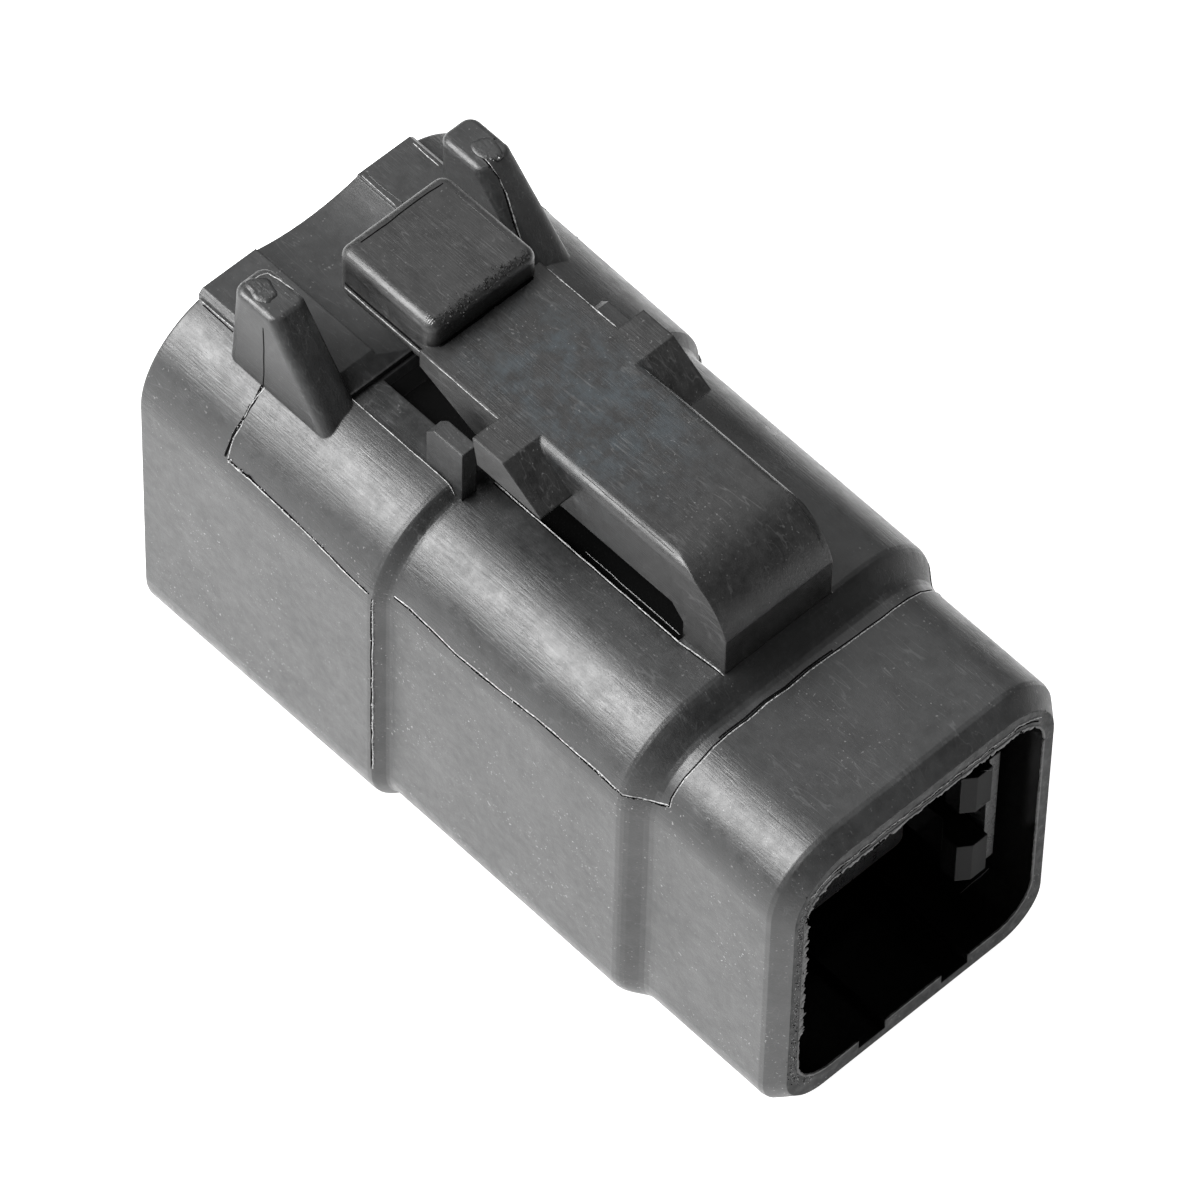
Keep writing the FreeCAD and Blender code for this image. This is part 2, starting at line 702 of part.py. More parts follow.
def make_contact(number_text, side, row):
    """A socket contact: crimp barrel, neck, collar and socket, with a steel sleeve on its front."""
    front = "(core_front - contact_gap)"
    collar = "(%s - socket_len - collar_len)" % front
    neck = "(%s - neck_len)" % collar
    barrel = "(%s - barrel_len)" % neck
    body = new_body("contact_%s_body" % number_text)
    shape = outline(body, "contact_outline", "XY_Plane", "0", [
        (barrel, "barrel_bore / 2"),
        (barrel, "barrel_dia / 2"),
        (neck, "barrel_dia / 2"),
        (neck, "neck_dia / 2"),
        (collar, "neck_dia / 2"),
        (collar, "collar_dia / 2"),
        ("%s + collar_len" % collar, "collar_dia / 2"),
        ("%s + collar_len" % collar, "socket_dia / 2"),
        (front, "socket_dia / 2"),
        (front, "socket_bore / 2"),
        ("%s + collar_len" % collar, "socket_bore / 2"),
        ("%s + collar_len / 2" % collar, "0"),
        ("%s - barrel_web" % neck, "0"),
        ("%s - barrel_web - drill_tip" % neck, "barrel_bore / 2"),
    ])
    turned(body, "turned_body", shape)
    sleeve = new_body("contact_%s_sleeve" % number_text)
    shape = outline(sleeve, "sleeve_outline", "XY_Plane", "0", [
        ("%s - sleeve_len" % front, "socket_dia / 2"),
        ("%s - sleeve_len" % front, "sleeve_dia / 2"),
        ("%s + sleeve_lip" % front, "sleeve_dia / 2"),
        ("%s + sleeve_lip" % front, "socket_bore / 2"),
        (front, "socket_bore / 2"),
        (front, "socket_dia / 2"),
    ])
    turned(sleeve, "turned_sleeve", shape)
    for piece in (body, sleeve):
        piece.setExpression("Placement.Base.y", cell("%d * column_pitch / 2" % side))
        piece.setExpression("Placement.Base.z", cell("axis_height + %d * row_pitch / 2" % row))
    return [body, sleeve]


def check(parts):
    """Stops the build where an object has failed or a piece is not one valid solid."""
    for item in doc.Objects:
        if "Invalid" in item.State or "Error" in item.State:
            raise RuntimeError("%s: %s" % (item.Label, item.State))
    for piece in parts:
        if piece.Shape.isNull() or not piece.Shape.isValid():
            raise RuntimeError("%s has no valid shape" % piece.Label)
        if len(piece.Shape.Solids) != 1:
            raise RuntimeError("%s has %d solids" % (piece.Label, len(piece.Shape.Solids)))


def main():
    parts = [make_housing(), make_arm(), make_ring(), make_wire_seal(), make_lock()]
    for index, (side, row) in enumerate(PLACES, start=1):
        parts += make_contact(str(index), side, row)
    for piece in parts:
        piece.setExpression("Placement.Base.x", cell("-full_len / 2"))
    doc.recompute()
    check(parts)
    os.makedirs("parts", exist_ok=True)
    for piece in parts:
        piece.Shape.exportStep("parts/%s.step" % piece.Label)
        box = piece.Shape.BoundBox
        print("%-18s %9.1f mm3  X %6.2f..%6.2f  Y %6.2f..%6.2f  Z %6.2f..%6.2f" % (
            piece.Label, piece.Shape.Volume, box.XMin, box.XMax, box.YMin, box.YMax, box.ZMin, box.ZMax))


main()
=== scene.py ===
import math
import random

import bmesh
import bpy
from mathutils import Matrix, Vector
from mathutils.bvhtree import BVHTree


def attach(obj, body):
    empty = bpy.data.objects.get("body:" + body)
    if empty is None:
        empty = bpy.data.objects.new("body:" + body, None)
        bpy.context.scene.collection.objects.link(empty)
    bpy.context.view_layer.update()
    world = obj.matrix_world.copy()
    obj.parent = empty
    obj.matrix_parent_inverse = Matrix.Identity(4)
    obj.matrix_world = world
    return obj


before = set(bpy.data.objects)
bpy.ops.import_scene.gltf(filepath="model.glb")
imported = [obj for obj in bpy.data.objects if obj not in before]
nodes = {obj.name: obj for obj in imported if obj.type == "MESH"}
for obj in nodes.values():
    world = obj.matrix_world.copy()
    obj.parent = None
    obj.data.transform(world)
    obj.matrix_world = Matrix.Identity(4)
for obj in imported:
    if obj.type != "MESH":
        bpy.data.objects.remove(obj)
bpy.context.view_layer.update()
scene = bpy.context.scene

MM = 0.001

# Camera, solved from the photograph: angles in degrees, lengths in metres, picture of 1200 pixels.
AZIMUTH = 45.266
ELEVATION = 54.369
ROLL = 1.58
DISTANCE = 592.92 * MM
AIM = Vector((0.0, 0.0, 13.0 * MM))
SLIDE_RIGHT = -0.4333 * MM
SLIDE_UP = 1.532 * MM
LENS = 330.13
SENSOR = 36.0
PICTURE = 1200
SHIFT_X = -0.00105
SHIFT_Y = -0.0044
NEAR_CLIP = 0.01
FAR_CLIP = 10.0

# Stations on the CAD model, in millimetres. Those that only flash follows may lie a few tenths
# beside the edge they name. The ears are the two guards beside the thumb pad.
LIP_X = 24.0
MOUTH_BACK_X = 3.0
MOUTH_HALF = 8.77
MOUTH_LOW = 3.05
MOUTH_HIGH = 21.43
MOUTH_ROUND = 2.6
KEYWAY_MIDDLE = 3.1
KEYWAY_HALF = 1.0
CHANNEL_START = -4.7
CHANNEL_END = 9.35
CHANNEL_HALF = 4.175
ROOT_END = 12.65
LEDGE_START = -13.4
LEDGE_END = -5.3
LEDGE_HALF = 6.4
RIM_X = -5.78
RIM_LOW = 4.9
RIM_HIGH = 20.6
EAR_REAR = -20.1
EAR_MIDDLE = 7.45
EAR_TOP = 30.99
PAD_REAR = -17.4
PAD_FRONT = -9.9
PAD_HALF = 3.9
PAD_LOW = 29.89
PAD_INSET = 0.66
ARM_HALF = 3.875
ARM_TOP = 31.19
ARM_END = 12.2
TAIL_HALF = 4.35
WING_START = -4.35
BROW_START = 8.2


def make_camera():
    """Stands the camera where the photograph was taken; gives it with its right, up and back."""
    azimuth = math.radians(AZIMUTH)
    elevation = math.radians(ELEVATION)
    roll = math.radians(ROLL)
    back = Vector((math.sin(azimuth) * math.cos(elevation),
                   -math.cos(azimuth) * math.cos(elevation),
                   math.sin(elevation)))
    level = Vector((math.cos(azimuth), math.sin(azimuth), 0.0))
    upright = back.cross(level)
    right = level * math.cos(roll) + upright * math.sin(roll)
    up = upright * math.cos(roll) - level * math.sin(roll)
    eye = AIM + right * SLIDE_RIGHT + up * SLIDE_UP + back * DISTANCE
    data = bpy.data.cameras.new("camera")
    data.lens = LENS
    data.sensor_width = SENSOR
    data.sensor_fit = "HORIZONTAL"
    data.shift_x = SHIFT_X
    data.shift_y = SHIFT_Y
    data.clip_start = NEAR_CLIP
    data.clip_end = FAR_CLIP
    camera = bpy.data.objects.new("camera", data)
    scene.collection.objects.link(camera)
    camera.matrix_world = Matrix.Translation(eye) @ Matrix((right, up, back)).transposed().to_4x4()
    scene.camera = camera
    return eye, right, up, back


EYE, RIGHT, UP, BACK = make_camera()


def sight(x, y):
    """The direction from the camera through a pixel of the photograph."""
    focus = LENS / SENSOR * PICTURE
    across = (x - PICTURE / 2 + SHIFT_X * PICTURE) / focus
    above = (PICTURE / 2 - y + SHIFT_Y * PICTURE) / focus
    return (RIGHT * across + UP * above - BACK).normalized()


# Floor and light. Each light has the direction in which it stands, its distance, width and height
# in metres, and its radiance.
FLOOR_HALF = 0.9
FLOOR_DROP = 0.05 * MM
FLOOR_GREY = 0.6
FLOOR_GLOW = 1.0
SKY_GLOW = 0.14
KEY_BOX = ((-0.42, -0.55, 0.72), 0.7, 0.50, 0.54, 19.0)
BACK_BOX = ((-0.41, 0.41, 0.81), 0.8, 0.8, 0.8, 0.95)


def make_floor():
    """A plain pale floor that glows evenly, so that no shadow shows on it."""
    mesh = bpy.data.meshes.new("floor")
    signs = ((-1, -1), (1, -1), (1, 1), (-1, 1))
    mesh.from_pydata([(x * FLOOR_HALF, y * FLOOR_HALF, 0) for x, y in signs], [], [(0, 1, 2, 3)])
    floor = bpy.data.objects.new("floor", mesh)
    scene.collection.objects.link(floor)
    floor.location.z = -FLOOR_DROP
    material = bpy.data.materials.new("floor")
    material.use_nodes = True
    shader = material.node_tree.nodes["Principled BSDF"]
    shader.inputs["Base Color"].default_value = (FLOOR_GREY, FLOOR_GREY, FLOOR_GREY, 1)
    shader.inputs["Roughness"].default_value = 0.95
    shader.inputs["Emission Color"].default_value = (1, 1, 1, 1)
    shader.inputs["Emission Strength"].default_value = FLOOR_GLOW
    mesh.materials.append(material)


def softbox(name, direction, distance, width, height, radiance):
    """A rectangular light that looks at the part from a direction, as bright as asked."""
    place = AIM + Vector(direction).normalized() * distance
    data = bpy.data.lights.new(name, "AREA")
    data.shape = "RECTANGLE"
    data.size = width
    data.size_y = height
    data.energy = radiance * math.pi * width * height
    light = bpy.data.objects.new(name, data)
    scene.collection.objects.link(light)
    light.location = place
    light.rotation_euler = (AIM - place).to_track_quat("-Z", "Y").to_euler()


def make_light():
    world = bpy.data.worlds.new("world")
    scene.world = world
    world.use_nodes = True
    sky = world.node_tree.nodes["Background"]
    sky.inputs["Color"].default_value = (1, 1, 1, 1)
    sky.inputs["Strength"].default_value = SKY_GLOW
    softbox("key_box", *KEY_BOX)
    softbox("back_box", *BACK_BOX)
    scene.view_settings.view_transform = "Standard"


make_floor()
make_light()


class Graph:
    """Adds nodes to one material and links them as they are made."""

    def __init__(self, name):
        self.material = bpy.data.materials.new(name)
        self.material.use_nodes = True
        self.tree = self.material.node_tree
        self.shader = self.tree.nodes["Principled BSDF"]
        self.place = self.add("ShaderNodeTexCoord").outputs["Object"]

    def add(self, kind, **settings):
        node = self.tree.nodes.new(kind)
        for key, value in settings.items():
            setattr(node, key, value)
        return node

    def put(self, socket, value):
        if isinstance(value, bpy.types.NodeSocket):
            self.tree.links.new(value, socket)
        else:
            socket.default_value = value

    def maths(self, operation, first, second=0.0):
        node = self.add("ShaderNodeMath", operation=operation)
        self.put(node.inputs[0], first)
        self.put(node.inputs[1], second)
        return node.outputs[0]

    def times(self, first, second):
        return self.maths("MULTIPLY", first, second)

    def plus(self, first, second):
        return self.maths("ADD", first, second)

    def axes(self, vector):
        """The X, Y and Z of a vector."""
        split = self.add("ShaderNodeSeparateXYZ")
        self.put(split.inputs[0], vector)
        return split.outputs

    def spread(self, value, low, high, to_low=0.0, to_high=1.0):
        """Maps low..high to to_low..to_high, with the ends held."""
        node = self.add("ShaderNodeMapRange", clamp=True)
        self.put(node.inputs["Value"], value)
        node.inputs["From Min"].default_value = low
        node.inputs["From Max"].default_value = high
        node.inputs["To Min"].default_value = to_low
        node.inputs["To Max"].default_value = to_high
        return node.outputs["Result"]

    def between(self, place, ends, to_low=0.0, to_high=1.0):
        """Maps the way between two stations in millimetres, with the ends held."""
        return self.spread(place, ends[0] * MM, ends[1] * MM, to_low, to_high)

    def turned(self, scale, angles):
        """The place on the part, scaled along its axes and turned by angles in degrees."""
        node = self.add("ShaderNodeMapping")
        self.put(node.inputs["Vector"], self.place)
        node.inputs["Scale"].default_value = scale
        node.inputs["Rotation"].default_value = [math.radians(angle) for angle in angles]
        return node.outputs["Vector"]

    def noise(self, scale, detail=3.0, rough=0.55, stretch=(1, 1, 1), angles=(0, 0, 0)):
        node = self.add("ShaderNodeTexNoise")
        self.put(node.inputs["Vector"], self.turned(stretch, angles))
        node.inputs["Scale"].default_value = scale
        node.inputs["Detail"].default_value = detail
        node.inputs["Roughness"].default_value = rough
        return node.outputs["Fac"]

    def blend(self, share, first, second):
        """A mix of two colours."""
        node = self.add("ShaderNodeMix", data_type="RGBA")
        self.put(node.inputs["Factor"], share)
        self.put(node.inputs["A"], first)
        self.put(node.inputs["B"], second)
        return node.outputs["Result"]

    def blend_values(self, share, first, second):
        """A mix of two numbers."""
        node = self.add("ShaderNodeMix", data_type="FLOAT")
        self.put(node.inputs["Factor"], share)
        self.put(node.inputs["A"], first)
        self.put(node.inputs["B"], second)
        return node.outputs["Result"]

    def bump(self, height, strength, distance, normal=None):
        node = self.add("ShaderNodeBump")
        node.inputs["Strength"].default_value = strength
        node.inputs["Distance"].default_value = distance
        self.put(node.inputs["Height"], height)
        if normal is not None:
            self.put(node.inputs["Normal"], normal)
        return node.outputs["Normal"]

    def inside(self, low, high):
        """1 inside a box of the part's frame, in millimetres, and 0 outside it."""
        share = 1.0
        for axis, near, far in zip(self.axes(self.place), low, high):
            share = self.times(share, self.maths("GREATER_THAN", axis, near * MM))
            share = self.times(share, self.maths("LESS_THAN", axis, far * MM))
        return share


def grey(value, blue=0.0):
    """A grey, drawn towards blue by a share."""
    return (value, value * (1 + blue * 0.6), value * (1 + blue), 1)


# Where the looks change along the part, in millimetres.
DUST_FADES = (19, 24)
BLUISH_STARTS = (-10, -6)
BLUISH_ENDS = (1, 7)
BLUISH_SIDES = (2.5, 4.2)
# Inside these two boxes shade is painted: the colour turns near black where the mouth and the
# channel lie in shade.
MOUTH_PAINTED_SHADE = ((MOUTH_BACK_X - 1.0, -MOUTH_HALF - 0.02, MOUTH_LOW - 0.8),
              (LIP_X - 0.01, MOUTH_HALF + 0.02, MOUTH_HIGH + 0.02))
CHANNEL_PAINTED_SHADE = ((-13.5, -4.16, 23.5), (9.5, 4.16, 25.0))

# Fields of scratches: the angle in degrees, and the grain along and across.
SCRATCH_FIELDS = ((28, 220, 1900), (74, 260, 2300), (121, 200, 1700), (163, 280, 2100))


def drawn_streaks(graph, drawn_from, drawn_beyond):
    """Streaks along X, where the part slid out of its mould: on its upper and outer faces."""
    _, y, z = graph.axes(graph.place)
    upper = graph.between(z, (drawn_from, drawn_from + 2.0), 0.1, 1.0)
    outer = graph.between(graph.maths("ABSOLUTE", y), (drawn_beyond, drawn_beyond + 1.5), 0.3, 1.0)
    worn = graph.spread(graph.noise(300, 3.0, 0.6, stretch=(0.6, 1, 1)), 0.38, 0.62, 0.25, 1.0)
    lines = graph.noise(1.0, 4.0, 0.7, stretch=(420, 7500, 7500), angles=(0, 0, 3))
    streaks = graph.spread(lines, 0.25, 0.75, -0.5, 0.5)
    return graph.times(graph.times(streaks, worn), graph.times(upper, outer))


def fine_scratches(graph, amount):
    """Straight scratches in four directions, each in patches of its own."""
    scratches = 0.0
    for angle, along, across in SCRATCH_FIELDS:
        field = graph.noise(1.0, 1.0, 0.5, stretch=(along, across, 900), angles=(0, 0, angle))
        off_line = graph.maths("ABSOLUTE", graph.maths("SUBTRACT", field, 0.5))
        line = graph.spread(off_line, 0.006, 0.016, 1.0, 0.0)
        patch = graph.spread(graph.noise(310, 3.0, 0.7, angles=(angle, 0, angle)), 0.53, 0.63)
        scratches = graph.plus(scratches, graph.times(line, patch))
    return graph.times(scratches, amount)


def dust_specks(graph):
    """Pale specks in patches, fewer towards the top."""
    z = graph.axes(graph.place)[2]
    specks = graph.spread(graph.noise(6200, 1.0, 0.4), 0.70, 0.75)
    patches = graph.spread(graph.noise(330, 2.0, 0.6), 0.42, 0.62)
    return graph.times(graph.times(specks, patches), graph.between(z, DUST_FADES, 1.0, 0.35))


def bluish_patch(graph):
    """1 on the middle of the latch arm, fading to 0 round it."""
    x, y, _ = graph.axes(graph.place)
    length = graph.times(graph.between(x, BLUISH_STARTS), graph.between(x, BLUISH_ENDS, 1.0, 0.0))
    return graph.times(length, graph.between(graph.maths("ABSOLUTE", y), BLUISH_SIDES, 1.0, 0.0))


def paint_mouth_shade(graph, base, rough, mottle):
    """Paints shade into the inside of the mouth and the channel by blackening the colour, and
    dulls the slopes and the lip.
    """
    forward = graph.axes(graph.add("ShaderNodeNewGeometry").outputs["True Normal"])[0]
    painted_shade = graph.maths("MAXIMUM", graph.inside(*MOUTH_PAINTED_SHADE), graph.inside(*CHANNEL_PAINTED_SHADE))
    rough = graph.plus(rough, graph.spread(forward, 0.4, 0.6, 0.0, 0.12))
    rough = graph.blend_values(painted_shade, rough, graph.spread(forward, 0.3, 0.6, 0.2, 0.95))
    lip = graph.maths("GREATER_THAN", graph.axes(graph.place)[0], (LIP_X - 0.02) * MM)
    rough = graph.blend_values(lip, rough, graph.spread(mottle, 0.3, 0.7, 0.6, 1.0))
    # The near-black grey here is painted shade.
    return graph.blend(painted_shade, base, grey(0.003)), rough


def plastic(name, shade, gloss=0.4, scuffs=0.4, blue=0.03, tint=0.0, cloudy=1.0,
            drawn_from=-1.0, drawn_beyond=-3.0, mouth=False, softness=0.12):
    """Black moulded plastic: drawn streaks, fine grain, smudges, dust and light scratches.

    The streaks show above the height drawn_from and further than drawn_beyond from the middle.
    These and softness, the rounding of the edges in shading, are in millimetres.
    """
    graph = Graph(name)
    streaks = drawn_streaks(graph, drawn_from, drawn_beyond)
    scratches = fine_scratches(graph, scuffs)
    grain = graph.noise(9500, 2.0, 0.7)
    mottle = graph.noise(1500, 4.0, 0.65)
    blotches = graph.noise(230, 4.0, 0.6)
    smudges = graph.spread(graph.noise(700, 6.0, 0.75, angles=(20, 30, 0)), 0.42, 0.66)
    stain = graph.blend(bluish_patch(graph),
                        grey(shade * 2.0, blue), grey(shade * 2.6, blue + tint))
    base = graph.blend(graph.spread(blotches, 0.3, 0.7),
                       grey(shade * 0.75, blue), grey(shade * 1.2, blue))
    base = graph.blend(graph.times(graph.spread(mottle, 0.4, 0.7), 0.35 * cloudy),
                       base, grey(shade * 2.2, blue))
    base = graph.blend(graph.times(smudges, 0.5 * cloudy), base, stain)
    base = graph.blend(graph.times(scratches, 0.35), base, grey(0.12, blue))
    base = graph.blend(graph.times(dust_specks(graph), 0.5), base, grey(0.34))
    rough = graph.plus(graph.times(streaks, 0.22),
                       graph.spread(blotches, 0.3, 0.7, gloss - 0.05, gloss + 0.05))
    rough = graph.plus(rough, graph.spread(mottle, 0.3, 0.7, -0.07, 0.07))
    rough = graph.plus(rough, graph.times(scratches, 0.12))
    # With mouth, the colour inside the mouth and the channel is blackened as painted shade.
    if mouth:
        base, rough = paint_mouth_shade(graph, base, rough, mottle)
    edges = graph.add("ShaderNodeBevel", samples=4)
    edges.inputs["Radius"].default_value = softness * MM
    relief = edges.outputs["Normal"]
    for height, strength, depth in ((streaks, 0.80, 0.021), (grain, 0.60, 0.013),
                                    (mottle, 0.42, 0.026), (scratches, 0.30, 0.006)):
        relief = graph.bump(height, strength, depth * MM, relief)
    graph.put(graph.shader.inputs["Base Color"], base)
    graph.put(graph.shader.inputs["Roughness"], rough)
    graph.put(graph.shader.inputs["Normal"], relief)
    graph.shader.inputs["IOR"].default_value = 1.5
    return graph.material


def rubber(name):
    graph = Graph(name)
    mottle = graph.noise(700, 3.0, 0.6)
    colour = graph.blend(graph.spread(mottle, 0.3, 0.7), grey(0.02), grey(0.035))
    graph.put(graph.shader.inputs["Base Color"], colour)
    graph.put(graph.shader.inputs["Roughness"], graph.spread(mottle, 0.3, 0.7, 0.55, 0.7))
    graph.put(graph.shader.inputs["Normal"], graph.bump(graph.noise(4000, 2.0), 0.2, 0.02 * MM))
    return graph.material


def metal(name, first, second, rough):
    """Turned or drawn metal with fine lines round its axis, which lies along X."""
    graph = Graph(name)
    lines = graph.noise(1.0, 3.0, 0.6, stretch=(9000, 120, 120))
    colour = graph.blend(graph.spread(lines, 0.3, 0.7), first, second)
    graph.put(graph.shader.inputs["Base Color"], colour)
    graph.put(graph.shader.inputs["Roughness"], graph.spread(lines, 0.3, 0.7, rough, rough + 0.12))
    graph.put(graph.shader.inputs["Normal"], graph.bump(lines, 0.15, 0.01 * MM))
    graph.shader.inputs["Metallic"].default_value = 1.0
    return graph.material


def patchy_grey(name, low, high, rough, scale, gleam=0.5):
    """Patchy plastic between two greys: torn flash, the lip's edge and the painted shade in
    grooves.
    """
    graph = Graph(name)
    patches = graph.noise(scale, 4.0, 0.7)
    colour = graph.blend(graph.spread(patches, 0.35, 0.65), grey(low), grey(high))
    graph.put(graph.shader.inputs["Base Color"], colour)
    dull = graph.spread(patches, 0.3, 0.7, rough, rough + 0.2)
    graph.put(graph.shader.inputs["Roughness"], dull)
    graph.put(graph.shader.inputs["Normal"], graph.bump(patches, 0.3, 0.01 * MM))
    graph.shader.inputs["Specular IOR Level"].default_value = gleam
    return graph.material


# The housing's plastic carries painted shade inside its mouth and its channel.
HOUSING = plastic("housing_plastic", 0.013, drawn_from=19.0, drawn_beyond=5.2, mouth=True)
LATCH = plastic("latch_plastic", 0.009, gloss=0.42, scuffs=0.5, blue=0.0, tint=0.55, cloudy=1.6,
                softness=0.15)
LOCK = plastic("lock_plastic", 0.008, gloss=0.3, scuffs=0.1)
RUBBER = rubber("seal_rubber")
CONTACT = metal("contact_metal", (0.60, 0.50, 0.30, 1), (0.72, 0.62, 0.42, 1), 0.25)
SLEEVE = metal("sleeve_steel", (0.50, 0.50, 0.52, 1), (0.64, 0.64, 0.66, 1), 0.22)
# Pale torn flash: its paleness is partly the real whitening of torn flash and partly a painted
# highlight along the lines.
FLASH_AND_HIGHLIGHT = patchy_grey("torn_flash_and_highlight", 0.04, 0.40, 0.35, 5200)
# Near black with no gleam: painted shade in the grooves of the parting lines, under the pad's edge
# and in the crumbs set in them.
PAINTED_GROOVE_SHADE = patchy_grey("painted_groove_shade", 0.002, 0.006, 0.8, 5200, gleam=0.0)
LIP_EDGE = patchy_grey("lip_edge", 0.01, 0.10, 0.6, 3500)


def dress(node, material):
    mesh = nodes[node].data
    mesh.materials.clear()
    mesh.materials.append(material)


dress("housing", HOUSING)
dress("latch_arm", LATCH)
dress("front_lock", LOCK)
dress("interface_seal", RUBBER)
dress("wire_seal", RUBBER)
for index in range(1, 5):
    dress("contact_%d_body" % index, CONTACT)
    dress("contact_%d_sleeve" % index, SLEEVE)


def surface(node):
    """The skin of one CAD node, for laying tracks on it."""
    mesh = nodes[node].data
    return BVHTree.FromPolygons([vertex.co.copy() for vertex in mesh.vertices],
                                [polygon.vertices[:] for polygon in mesh.polygons])


# Detail pieces: parting lines, flash and gate marks of the moulding. A track is a list of places
# on the part, each with the direction that points out of the surface there. The steps along a
# track are in millimetres, or in pixels of the photograph.
SKINS = {name: surface(name) for name in ("housing", "latch_arm")}
FAR = 60.0 * MM
SLIP = 0.6 * MM
JUMP = 0.5 * MM
STEP = 0.12
PIXEL_STEP = 2.0


def dense(points, step):
    """Points a step apart along straight runs between the given ones, in any number of axes."""
    out = []
    for first, second in zip(points, points[1:]):
        length = math.dist(first, second)
        count = max(1, round(length / step))
        for index in range(count):
            share = index / count
            out.append(tuple(a + (b - a) * share for a, b in zip(first, second)))
    out.append(tuple(points[-1]))
    return out


def hits(node, rays):
    """Where rays meet a node, leaving out those that slip off onto another face."""
    track = []
    for origin, direction in rays:
        place, normal, _, _ = SKINS[node].ray_cast(origin, direction)
        if place is None:
            continue
        if track and (place - track[-1][0]).length > SLIP:
            continue
        track.append((place, normal))
    return track


def seen(node, pixels):
    """A track on a node, from pixels of the photograph."""
    return hits(node, [(EYE, sight(x, y)) for x, y in dense(pixels, PIXEL_STEP)])


def dropped(node, points):
    """A track on the top of a node, from (x, y) in millimetres."""
    down = Vector((0, 0, -1))
    return hits(node, [(Vector((x * MM, y * MM, FAR)), down) for x, y in dense(points, STEP)])


def pushed(node, points, side):
    """A track on one side of a node, from (x, z) in millimetres."""
    inwards = Vector((0, -side, 0))
    rays = [(Vector((x * MM, side * FAR, z * MM)), inwards) for x, z in dense(points, STEP)]
    return hits(node, rays)


def edge_line(points, normal):
    """A track through known places in millimetres, with one outward direction."""
    outwards = Vector(normal).normalized()
    return [(Vector(point) * MM, outwards) for point in dense(points, STEP)]


def mirrored(track):
    """The same track on the other side of the part."""
    return [(Vector((p.x, -p.y, p.z)), Vector((n.x, -n.y, n.z))) for p, n in track]


def wander(count, every, rng):
    """Smooth random values between -1 and 1, with a new one every few samples."""
    knots = [rng.uniform(-1, 1) for _ in range(count // every + 3)]
    values = []
    for index in range(count):
        knot = index // every
        share = index / every - knot
        share = share * share * (3 - 2 * share)
        values.append(knots[knot] * (1 - share) + knots[knot + 1] * share)
    return values


# Material slots of every detail piece. The flash slot is pale partly as painted highlight, and the
# groove slot is painted shade.
PLASTIC_SLOT = 0
FLASH_HIGHLIGHT_SLOT = 1
PAINTED_SHADE_SLOT = 2
LIP_SLOT = 3


def sweep(shape, track, section, rng, finish=PLASTIC_SLOT, aside=0.0, sway=0.0, rough=0.0,
          every=4):
    """Runs a small closed section along a track; height and place vary as real flash does."""
    count = len(track)
    if count < 3:
        return
    sways = wander(count, every * 2, rng)
    coarse = wander(count, every, rng)
    fine = wander(count, 1, rng)
    rings = []
    for index, (place, normal) in enumerate(track):
        before = track[max(index - 1, 0)][0]
        after = track[min(index + 1, count - 1)][0]
        across = (after - before).cross(normal).normalized()
        from_end = min(index, count - 1 - index)
        swell = min(1.0, 0.2 + from_end / 3)
        lift = max(0.05, 1 + rough * (0.6 * coarse[index] + 0.5 * fine[index])) * swell
        ring = []
        for out, high in section:
            shift = (aside + out + sways[index] * sway) * MM
            tall = high * lift if high > 0 else high
            ring.append(shape.verts.new(place + across * shift + normal * tall * MM))
        rings.append(ring)
    size = len(section)
    faces = []
    for first, second in zip(rings, rings[1:]):
        for corner in range(size):
            following = (corner + 1) % size
            faces.append(shape.faces.new((first[corner], first[following],
                                          second[following], second[corner])))
    faces.append(shape.faces.new(rings[0]))
    faces.append(shape.faces.new(rings[-1][::-1]))
    for face in faces:
        face.material_index = finish


def crumbs(shape, track, count, size, spread, rng, finish=FLASH_HIGHLIGHT_SLOT):
    """Small torn bits scattered along a track, half sunk in what carries them; in the groove slot
    they are spots of painted shade.
    """
    for _ in range(count):
        index = rng.randrange(1, len(track) - 1)
        place, normal = track[index]
        across = (track[index + 1][0] - track[index - 1][0]).cross(normal).normalized()
        centre = place + across * rng.gauss(0, spread) * MM
        radius = size * rng.uniform(0.5, 1.3) * MM
        made = bmesh.ops.create_icosphere(shape, subdivisions=1, radius=radius)
        stretch = Vector([rng.uniform(0.6, 1.3) for _ in range(3)])
        for vertex in made["verts"]:
            jitter = 1 + rng.uniform(-0.25, 0.25)
            vertex.co = centre + Vector([c * s * jitter for c, s in zip(vertex.co, stretch)])
        for face in {face for vertex in made["verts"] for face in vertex.link_faces}:
            face.material_index = finish


# Sections of flash and grooves, as (across, outwards) in millimetres.
RIDGE = ((-0.05, -0.03), (-0.02, 0.05), (0.02, 0.045), (0.05, -0.03))
THIN_RIDGE = ((-0.035, -0.03), (-0.012, 0.04), (0.012, 0.035), (0.035, -0.03))
HIGH_RIDGE = ((-0.06, -0.05), (-0.03, 0.1), (0.02, 0.09), (0.05, -0.05))
PAD_RAIL = ((-0.28, -0.05), (-0.25, 0.13), (0.2, 0.13), (0.28, -0.05))
WIDE_GROOVE = ((-0.09, -0.03), (-0.08, 0.014), (0.08, 0.014), (0.09, -0.03))
GROOVE = ((-0.06, -0.03), (-0.055, 0.012), (0.055, 0.012), (0.06, -0.03))
THIN_GROOVE = ((-0.042, -0.03), (-0.038, 0.012), (0.038, 0.012), (0.042, -0.03))
CORNER_GROOVE = ((-0.09, -0.05), (-0.07, 0.05), (0.07, 0.05), (0.09, -0.05))
SEAM_SIDE = 0.095


